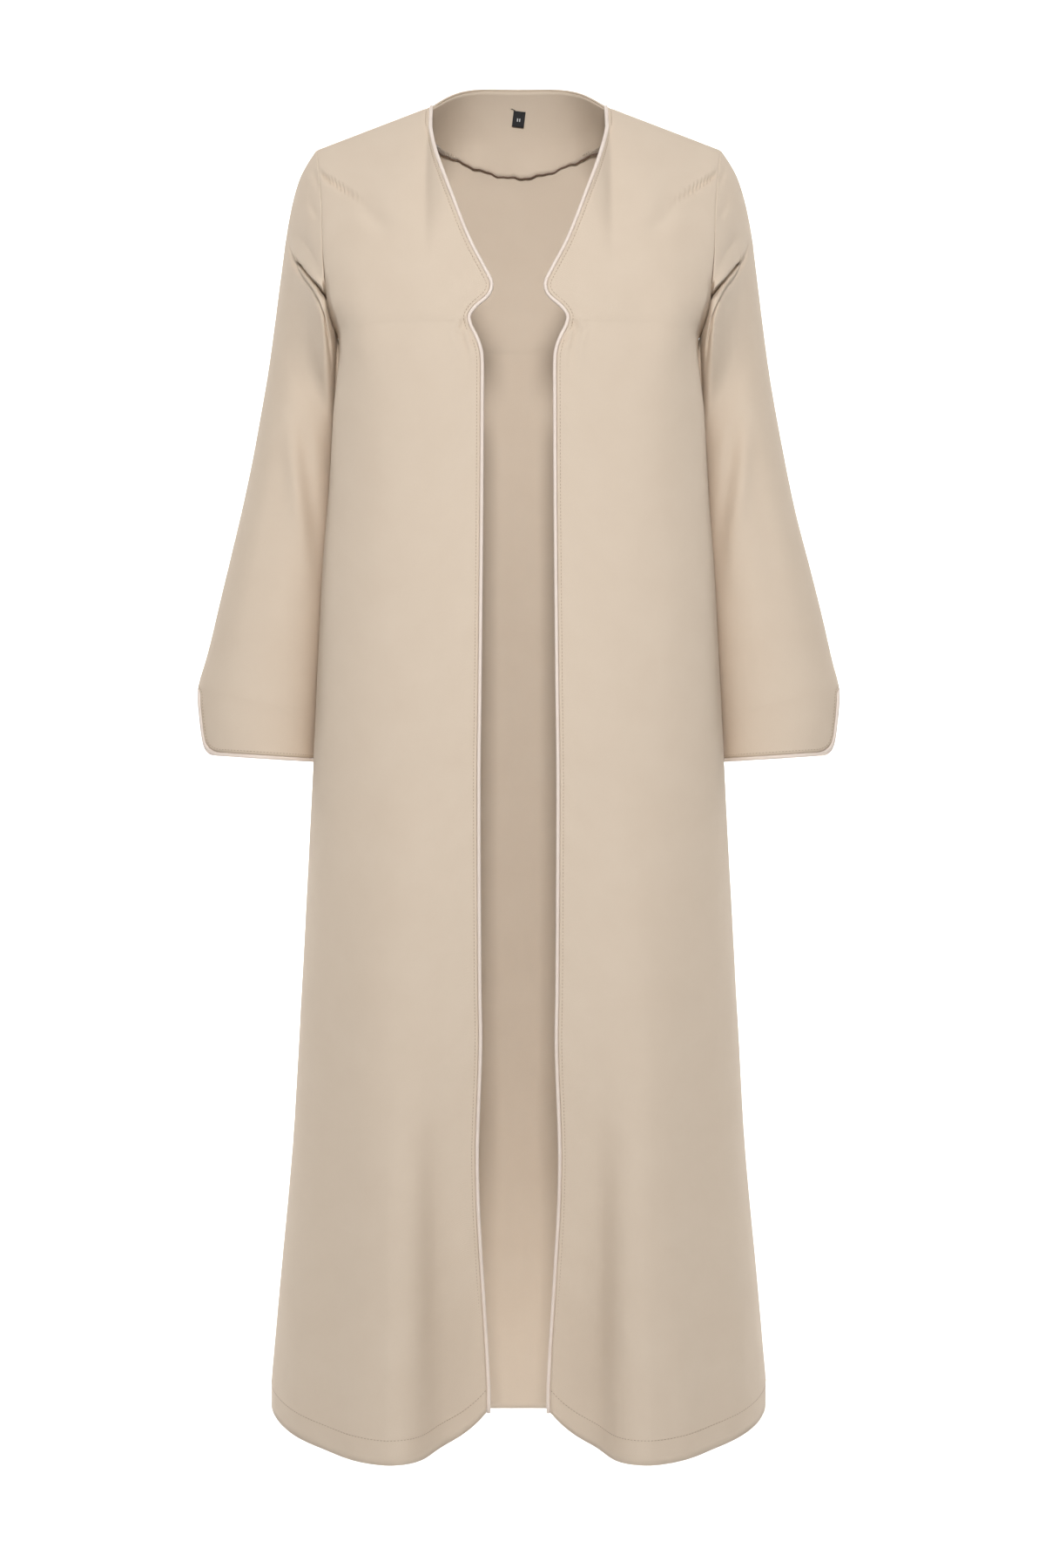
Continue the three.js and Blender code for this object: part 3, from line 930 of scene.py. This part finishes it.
# the armhole seam's foot tucks the sleeve in behind the edge of the front
tuck = {"depth": 18, "width": 2.6, "from": -184, "fadeIn": 12, "to": -231, "fadeOut": 8,
        "below": 2.8}


def tuckedIn(z, fromTop):
    span = smooth((tuck["from"] - z) / tuck["fadeIn"])
    span *= smooth((z - tuck["to"]) / tuck["fadeOut"])
    return tuck["depth"] * span * bump((fromTop - tuck["below"]) / tuck["width"])


sleeveCloth = {
    "slack": 1.3,
    "creaseOut": 0.25,  # the part of a crease's depth that goes towards or away from the body
    "topFade": 3,
    "underarmFade": 0.03,
    "outerFade": 0.02,
    "slackTopFade": 25,
    "slackSlitFade": 0.1,
}


sleeveLines = {}
for sideName, sign, seed in (("left", 1, 12.4), ("right", -1, 17.9)):

    def placeSleeve(share, v):
        point = sleevePlace(2 * math.pi * share, v)
        return Vector((sign * (point.x + seamGap), point.y, point.z))

    # closest at the underarm's folds, at the slit's tip and beside its edges
    rows = stretches((0, 0.02, 12), (0.02, 0.2, 92), (0.2, 0.3, 22), (0.3, slitTop - 0.004, 48))
    rows += [slitTop, slitTop + 0.0008, slitTop + 0.0025, slitTop + 0.005]
    rows += stretches((slitTop + 0.009, 1, 16)) + [1]
    shares = stretches((0, 0.036, 6), (0.036, 0.17, 10), (0.17, 0.48, 76), (0.48, 0.964, 42),
                       (0.964, 1, 6))
    shares = sorted({0.5, 1, *shares})
    bm, lines = clothSheet(shares, rows, placeSleeve)
    faceOutward(bm, lines, lambda z: Vector((sign, 1, 1)) * sleeveMiddle(z))
    sizes = measured(lines)
    clothUv(bm, sizes)
    moved = {}
    for line, v in zip(lines, rows):
        for vert, share in zip(line, shares):
            fromTop = sizes[vert][2]
            creases = sleeveCreases["front" if share < 0.5 else "back"]
            fade = smooth(fromTop / sleeveCloth["topFade"])
            fade *= smooth(abs(share - 0.5) / sleeveCloth["underarmFade"])
            fade *= smooth(min(share, 1 - share) / sleeveCloth["outerFade"])
            lift = creaseHeight(abs(vert.co.x), vert.co.z, creases) * fade
            loose = slack(vert.co, seed, sleeveCloth["slack"])
            loose *= smooth(fromTop / sleeveCloth["slackTopFade"])
            loose *= smooth((slitTop - v) / sleeveCloth["slackSlitFade"])
            loose += nearSeam(fromTop)
            # creases sink towards the back or the front, so that they stay clear of the body
            creaseWay = Vector((vert.normal.x * sleeveCloth["creaseOut"], vert.normal.y,
                                vert.normal.z))
            moved[vert] = creaseWay * lift + vert.normal * loose
            if share < 0.5:
                moved[vert].y += tuckedIn(vert.co.z, fromTop)
        if v <= slitTop:
            # the sleeve is one piece all round above the slit
            first, last = line[0], line[-1]
            moved[first] = moved[last] = (moved[first] + moved[last]) / 2
    moveVerts(moved)
    bm.normal_update()
    sleeveLines[sideName] = withNormals(lines), shares, rows
    bmesh.ops.remove_doubles(bm, verts=bm.verts[:], dist=0.01)
    piece = finishSheet(f"sleevePanel_{sideName}", bm, clothMaterial, clothWall)
    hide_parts(f"sleeve_{sideName}")
print("abaya cloak: sleeves made")

# Piping and stitching

pipingSize = {"radius": 1.85, "clear": 0.2}
stitchSize = {"length": 2.5, "pitch": 3.3, "radius": 0.32, "sink": 0.05, "cuffInset": 2.8}


def pointsAt(line, distance):
    # the place and normal at a distance along a line of (place, normal) pairs
    walked = 0.0
    for (a, na), (b, nb) in zip(line, line[1:]):
        length = (b - a).length
        if walked + length >= distance:
            t = (distance - walked) / max(length, 1e-9)
            return a.lerp(b, t), na.lerp(nb, t).normalized()
        walked += length
    return line[-1]


def edgeOffset(edge, out):
    # moves a line of (place, normal) pairs sideways along the cloth
    moved = []
    for i, (place, normal) in enumerate(edge):
        before, after = edge[max(i - 1, 0)][0], edge[min(i + 1, len(edge) - 1)][0]
        along = (after - before).normalized()
        moved.append((place + along.cross(normal).normalized() * out, normal))
    return moved


def evenLine(line, step):
    total = sum((b[0] - a[0]).length for a, b in zip(line, line[1:]))
    count = max(int(total / step), 2)
    found = []
    walked, k = 0.0, 0
    for i in range(count + 1):
        want = total * i / count
        while k < len(line) - 2 and walked + (line[k + 1][0] - line[k][0]).length < want:
            walked += (line[k + 1][0] - line[k][0]).length
            k += 1
        (a, na), (b, nb) = line[k], line[k + 1]
        t = clamp((want - walked) / max((b - a).length, 1e-9))
        found.append((a.lerp(b, t), na.lerp(nb, t).normalized()))
    return found


def tube(name, points, radius, material, sides=4):
    # a round trim along a line of points, made a mesh
    curve = bpy.data.curves.new(name, "CURVE")
    curve.dimensions = "3D"
    curve.bevel_depth = radius * mm
    curve.bevel_resolution = sides
    curve.use_fill_caps = True
    spline = curve.splines.new("POLY")
    spline.points.add(len(points) - 1)
    for target, point in zip(spline.points, points):
        target.co = (*(point * mm), 1)
    holder = linked(name + "Line", curve)
    bpy.context.view_layer.update()
    made = bpy.data.meshes.new_from_object(holder.evaluated_get(
        bpy.context.evaluated_depsgraph_get()))
    bpy.data.objects.remove(holder)
    bpy.data.curves.remove(curve)
    bm = bmesh.new()
    bm.from_mesh(made)
    bpy.data.meshes.remove(made)
    bmesh.ops.remove_doubles(bm, verts=bm.verts[:], dist=1e-6)
    bmesh.ops.recalc_face_normals(bm, faces=bm.faces[:])
    return worn(linked(name, smoothMesh(name, bm, material)))


def stitches(name, line):
    # a row of short thread humps on the cloth
    radius = stitchSize["radius"]
    size = Matrix.Diagonal((stitchSize["length"] / 2, radius, radius, 1))
    bm = bmesh.new()
    spots = evenLine(line, stitchSize["pitch"])
    for (a, na), (b, nb) in zip(spots, spots[1:]):
        along = (b - a).normalized()
        normal = (na + nb).normalized()
        side = along.cross(normal).normalized()
        normal = side.cross(along)
        centre = (a + b) / 2 + normal * (radius / 2 - stitchSize["sink"])
        turn = Matrix((along, side, normal)).transposed().to_4x4()
        bmesh.ops.create_icosphere(bm, subdivisions=1, radius=1,
                                   matrix=Matrix.Translation(centre) @ turn @ size)
    bmesh.ops.scale(bm, vec=(mm, mm, mm), verts=bm.verts[:])
    return worn(linked(name, smoothMesh(name, bm, threadMaterial)))


def pipeEdge(name, edge, out, node):
    # the piping beside a cloth edge, level with the middle of the cloth
    middle = [place - normal * clothWall / 2 for place, normal in edgeOffset(edge, out)]
    if (edge[0][0] - edge[-1][0]).length < pipingSize["radius"]:
        middle = middle[:-1]  # the two ends of a cuff's piping meet
    piece = tube(name, middle, pipingSize["radius"], pipingMaterial)
    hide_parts(node)
    return piece


def hemLine(lines):
    # where the turned-up hem is stitched
    return [pointsAt(list(reversed(column)), hemTurnUp) for column in zip(*lines)]


frontTrims, sleeveTrims = {}, {}
for sideName, sign in (("left", 1), ("right", -1)):
    out = sign * (pipingSize["radius"] + pipingSize["clear"])
    edge = [line[-1] for line in frontLines[sideName]]
    inside = edgeOffset(edge, -sign * topstitch["inset"])
    frontTrims[sideName] = [
        pipeEdge(f"frontPiping_{sideName}", edge, out, f"front_piping_{sideName}"),
        stitches(f"frontTopstitch_{sideName}", inside[6:]),
        stitches(f"frontHemStitch_{sideName}", hemLine(frontLines[sideName])[1:]),
    ]

    lines, shares, rows = sleeveLines[sideName]
    slitRows = [j for j, v in enumerate(rows) if v >= slitTop]
    around = len(shares)
    half = min(range(around), key=lambda i: abs(shares[i] - 0.5))
    edge = [lines[-1][i] for i in range(half, -1, -1)]
    edge += [lines[j][0] for j in reversed(slitRows[1:-1])]
    edge += [lines[slitRows[0]][0]]
    edge += [lines[j][-1] for j in slitRows[1:-1]]
    edge += [lines[-1][i] for i in range(around - 1, half - 1, -1)]
    sleeveTrims[sideName] = [
        pipeEdge(f"cuffPiping_{sideName}", edge, out, f"cuff_piping_{sideName}"),
        stitches(f"cuffStitch_{sideName}", edgeOffset(edge, -sign * stitchSize["cuffInset"])),
    ]

backHemStitch = stitches("backHemStitch", hemLine(backLines)[1:-1])
print("abaya cloak: piping and stitching made")

# The facing inside the back neck, its overlocked edge with a painted shadow line under it, and the size
# label

facingLook = {
    "depth": 90,
    "sideDepth": 38,
    "wall": 0.9,
    "clear": 0.9,
    "reach": 5 / 12,  # share of the back panel's half
    "columns": 72,
    "rows": 24,
    "topGap": 1.8,
    "loose": 1.8,  # how far its lower edge stands off the back, and over what height
    "looseOver": 30,
    "flat": (0.27, 0.1),
    "area": 0.0172,
    "wave": 0.9,  # how far the overlocked edge ripples
}


def downTheBack(share, distance):
    # the steps on the back's outer face on both sides of a distance from its top edge
    steps = 69
    walked = 0.0
    place = backPlace(share, 0)
    for step in range(1, steps + 1):
        before, start = place, walked
        place = backPlace(share, form["armholeShare"] * step / steps)
        walked += (place - before).length
        if walked > distance:
            break
    return before, start, place, walked


def facingDepth(share):
    away = abs(share) / facingLook["reach"]
    ripple = facingLook["wave"] * (math.sin(share * 61) + 0.6 * math.sin(share * 143 + 1))
    return mix(facingLook["depth"], facingLook["sideDepth"], away**2) + ripple


def onBack(share, distance):
    a, start, b, end = downTheBack(share, distance)
    return a.lerp(b, clamp((distance - start) / max(end - start, 1e-9)))


columns, rows = facingLook["columns"], facingLook["rows"]
facingShares = [facingLook["reach"] * (2 * i / columns - 1) for i in range(columns + 1)]
facingRows = [j / rows for j in range(rows + 1)]
bm, lines = clothSheet(
    facingShares, facingRows,
    lambda share, v: onBack(share, mix(facingLook["topGap"], facingDepth(share), v)))
faceOutward(bm, lines, bodyMiddle)
sizes = measured(lines)
clothUv(bm, sizes)
moved = {}
for vert in bm.verts:
    ripple = 1 + 0.6 * math.sin(vert.co.x * 0.11 + 0.4)
    loose = facingLook["loose"] * smooth(1 - sizes[vert][3] / facingLook["looseOver"]) * ripple
    moved[vert] = vert.normal * -(clothWall + facingLook["clear"] + loose)
moveVerts(moved)
bm.normal_update()
facingInner = [(v.co - v.normal * facingLook["wall"], -v.normal) for v in lines[-1]]
neckFacing = finishSheet("neckFacing", bm, clothMaterial, facingLook["wall"])
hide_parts("neck_facing")

overlock = {"depth": 4.6, "past": 0.35, "lift": 0.2, "pitch": 1.6, "radius": 0.33,
            "shadowLineDrop": 0.5, "shadowLineRadius": 0.6}
spots = evenLine(facingInner, overlock["pitch"])
zigzag = []
for k, ((a, normal), (b, other)) in enumerate(zip(spots, spots[1:])):
    up = (b - a).cross(normal).normalized()
    up = up if up.z > 0 else -up
    reach = overlock["depth"] if k % 2 else -overlock["past"]
    zigzag.append((a + b) / 2 + up * reach + normal * overlock["lift"])
overlockThread = tube("facingOverlock", zigzag, overlock["radius"], paleThread, 1)
# painted shadow: a dark brown tube just under the facing's overlocked edge, standing for the shadow
# that edge casts on the back
foot = [place - Vector((0, 0, overlock["shadowLineDrop"])) + normal * (0.1 + overlock["lift"] * (k % 2))
        for k, (place, normal) in enumerate(spots)]
paintedShadowLine = tube("facingOverlockEdge", foot, overlock["shadowLineRadius"], paintedShadowFinish, 2)

neckWidth = form["neckHalfWidth"] / form["neckShare"]  # millimetres across in a share of 1


def labelPlace(u, v):
    across = (0.5 - u) * labelLook["width"] / mm
    down = (v - 0.5) * labelLook["height"] / mm
    tilt = labelLook["tilt"]
    x = across * math.cos(tilt) - down * math.sin(tilt)
    z = across * math.sin(tilt) + down * math.cos(tilt)
    return onBack(x / neckWidth, labelLook["drop"] + z)


bm, lines = clothSheet([i / 10 for i in range(11)], [j / 12 for j in range(13)], labelPlace)
faceOutward(bm, lines, bodyMiddle)
sizes = measured(lines)
clothUv(bm, sizes)
inward = clothWall + facingLook["clear"] + facingLook["wall"] + labelLook["clear"]
moveVerts({v: v.normal * -(inward + labelLook["footLift"] * smooth(sizes[v][2] / labelLook["footOver"]))
           for v in bm.verts})
bm.normal_update()
topCorner = min((lines[0][0], lines[0][-1]), key=lambda v: v.co.x)
corner = topCorner.co - topCorner.normal * labelLook["wall"]
# a cut thread's end beside the label's top corner
stub = [corner + Vector(step) for step in ((1.6, -0.3, 0.2), (0, -0.5, 0.7), (-1.4, -0.8, 1.6),
                                           (-2.9, -0.6, 1.5))]
sizeLabel = finishSheet("sizeLabel", bm, labelMaterial, labelLook["wall"])
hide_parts("size_label")
labelThread = tube("labelThread", stub, 0.3, labelMaterial, 1)
print("abaya cloak: neck facing and label made")

# The scene: camera, lights and floor

cameraPlace = {"x": 0.0039, "distance": 3.0, "height": -0.677, "frameHeight": 1.566}
camera = bpy.data.cameras.new("camera")
camera.sensor_width = 36
camera.lens = camera.sensor_width * cameraPlace["distance"] / cameraPlace["frameHeight"]
cameraObject = linked("camera", camera)
cameraObject.location = (cameraPlace["x"], -cameraPlace["distance"], cameraPlace["height"])
cameraObject.rotation_euler = (math.pi / 2, 0, 0)
bpy.context.scene.camera = cameraObject

studio = {"floorHeight": -1.62, "wallAt": 3.6, "halfWidth": 7.0, "bend": 1.2, "wallHeight": 8,
          "floorShade": 0.92, "airGlow": 0.11}


def sweepBackdrop():
    # a floor that curves up into a wall behind the cloak
    near = 0.01
    finish = Finish("paleFloor")
    finish.surface(Base_Color=[studio["floorShade"]] * 3, Roughness=0.9)
    bm = bmesh.new()
    bmesh.ops.create_grid(bm, x_segments=1, y_segments=1, size=studio["halfWidth"])
    bmesh.ops.translate(bm, vec=(0, studio["wallAt"] - studio["halfWidth"], studio["floorHeight"]),
                        verts=bm.verts[:])
    far = [e for e in bm.edges if all(v.co.y > studio["wallAt"] - near for v in e.verts)]
    bmesh.ops.spin(bm, geom=far, axis=(1, 0, 0), steps=24, angle=math.pi / 2,
                   cent=(0, studio["wallAt"], studio["floorHeight"] + studio["bend"]))
    wall = studio["wallAt"] + studio["bend"] - near
    top = [e for e in bm.edges if all(v.co.y > wall for v in e.verts) and e.is_boundary
           and abs(e.verts[0].co.z - e.verts[1].co.z) < near]
    risen = bmesh.ops.extrude_edge_only(bm, edges=top)["geom"]
    bmesh.ops.translate(bm, vec=(0, 0, studio["wallHeight"]),
                        verts=[g for g in risen if isinstance(g, bmesh.types.BMVert)])
    linked("studioFloor", smoothMesh("studioFloor", bm, finish.material))


sweepBackdrop()


def areaLight(name, place, aim, size, watts, spread=180):
    light = bpy.data.lights.new(name, "AREA")
    light.shape = "RECTANGLE"
    light.size, light.size_y = size
    light.energy = watts
    light.spread = math.radians(spread)
    lamp = linked(name, light)
    lamp.location = place
    lamp.visible_camera = False
    lamp.rotation_euler = (Vector(aim) - Vector(place)).to_track_quat("-Z", "Y").to_euler()


areaLight("front", (0, -3.4, 0.6), (0, 0, -0.3), (0.5, 0.9), 27.5, 100)
areaLight("top", (0, -0.4, 2.6), (0, 0, -0.4), (3.0, 2.4), 33)
areaLight("behind", (0, 3.0, 1.4), (0, 0, -0.5), (2.4, 1.6), 8)
areaLight("backdropLeft", (-3.2, 2.0, 1.2), (-1.0, 4.6, 0.0), (1.5, 3.5), 240)
areaLight("backdropRight", (3.2, 2.0, 1.2), (1.0, 4.6, 0.0), (1.5, 3.5), 240)

world = bpy.data.worlds.new("studioAir")
world.use_nodes = True
background = world.node_tree.nodes["Background"]
background.inputs["Color"].default_value = (1, 1, 1, 1)
background.inputs["Strength"].default_value = studio["airGlow"]
bpy.context.scene.world = world
bpy.context.scene.view_settings.view_transform = "Standard"
bpy.context.scene.view_settings.look = "None"
